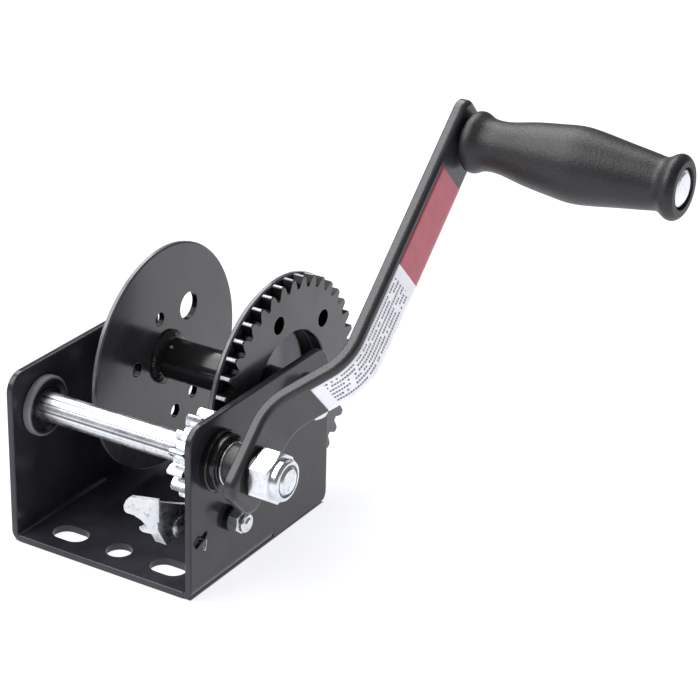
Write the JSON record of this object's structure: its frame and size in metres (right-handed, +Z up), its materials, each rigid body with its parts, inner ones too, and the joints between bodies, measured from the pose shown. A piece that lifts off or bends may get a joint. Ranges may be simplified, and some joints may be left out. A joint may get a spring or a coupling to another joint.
{
  "type": "boat trailer winch",
  "caption": "Hand winch for a boat trailer: bent steel channel frame, geared drum, pinion shaft, ratchet pawl, and a cranked handle with a turning barrel grip.",
  "frame": {"origin": "centre of the front row of base bolt holes, on the underside of the base", "axes": "+X along the drum axis towards the crank, +Y from the pinion end towards the drum end, +Z up, square to the base"},
  "size_m": [0.2368, 0.1546, 0.1753],
  "materials": {
    "frame_paint": "gloss black powder coat",
    "drum_paint": "gloss black powder coat",
    "gear_paint": "gloss black powder coat",
    "hub_paint": "gloss black paint",
    "crank_paint": "gloss black powder coat",
    "spacer_black": "black paint",
    "bush_black": "black plastic",
    "black_nylon": "satin black nylon",
    "zinc_plate": "bright zinc plate",
    "zinc_nut": "bright zinc plate",
    "zinc_gear": "bright zinc plate",
    "zinc_shaft": "bright zinc plate",
    "zinc_pawl": "bright zinc plate",
    "rivet_zinc": "bright zinc plate",
    "spring_steel": "spring steel",
    "plain_steel": "plain steel tube",
    "nylon_ring": "pale nylon",
    "grip_plastic": "fine-grained black plastic"
  },
  "bodies": {
    "frame_body": {"frame": "frame_paint", "left_shaft_bush": "black_nylon", "right_shaft_bush": "bush_black", "axle_sleeve": "plain_steel", "axle_bolt": "zinc_plate", "axle_washers": "zinc_plate", "axle_nut": "zinc_plate", "pawl_sleeve": "zinc_plate", "pawl_bolt": "zinc_plate", "pawl_washer": "bush_black", "pawl_nut": "zinc_plate", "pawl_spring": "spring_steel"},
    "drum": {"drum_left_flange": "drum_paint", "drum_hub": "hub_paint", "hub_weld_collar": "hub_paint", "drum_right_flange": "drum_paint", "drum_gear": "gear_paint"},
    "crank": {"pinion_shaft": "zinc_shaft", "pinion_gear": "zinc_gear", "pinion_collar": "zinc_gear", "shaft_end_washer": "zinc_plate", "shaft_retaining_clip": "spring_steel", "handle_washer": "zinc_plate", "handle_spacer": "spacer_black", "crank_bar": "crank_paint", "nut_washer": "spacer_black", "handle_nut": "zinc_nut", "nut_lock_ring": "nylon_ring", "grip_washer": "bush_black", "grip_rivet": "rivet_zinc"},
    "grip_body": {"grip": "grip_plastic"},
    "pawl_body": {"pawl": "zinc_pawl"}
  },
  "joints": [
    {"name": "drum_spin", "type": "hinge", "parent": "frame_body", "child": "drum", "pos_m": [0, 0.06769, 0.0555], "axis": [1, 0, 0], "continuous": true},
    {"name": "crank_spin", "type": "hinge", "parent": "frame_body", "child": "crank", "pos_m": [0, 0.0053, 0.0543], "axis": [1, 0, 0], "continuous": true},
    {"name": "grip_spin", "type": "hinge", "parent": "crank", "child": "grip_body", "pos_m": [0, 0.11595, 0.15967], "axis": [1, 0, 0], "continuous": true},
    {"name": "pawl_swing", "type": "hinge", "parent": "frame_body", "child": "pawl_body", "pos_m": [0, 0.013, 0.0255], "axis": [1, 0, 0], "range_deg": [-6, 20]}
  ],
  "couplings": [
    {"joint": "crank_spin", "follows": "drum_spin", "ratio": -3}
  ]
}
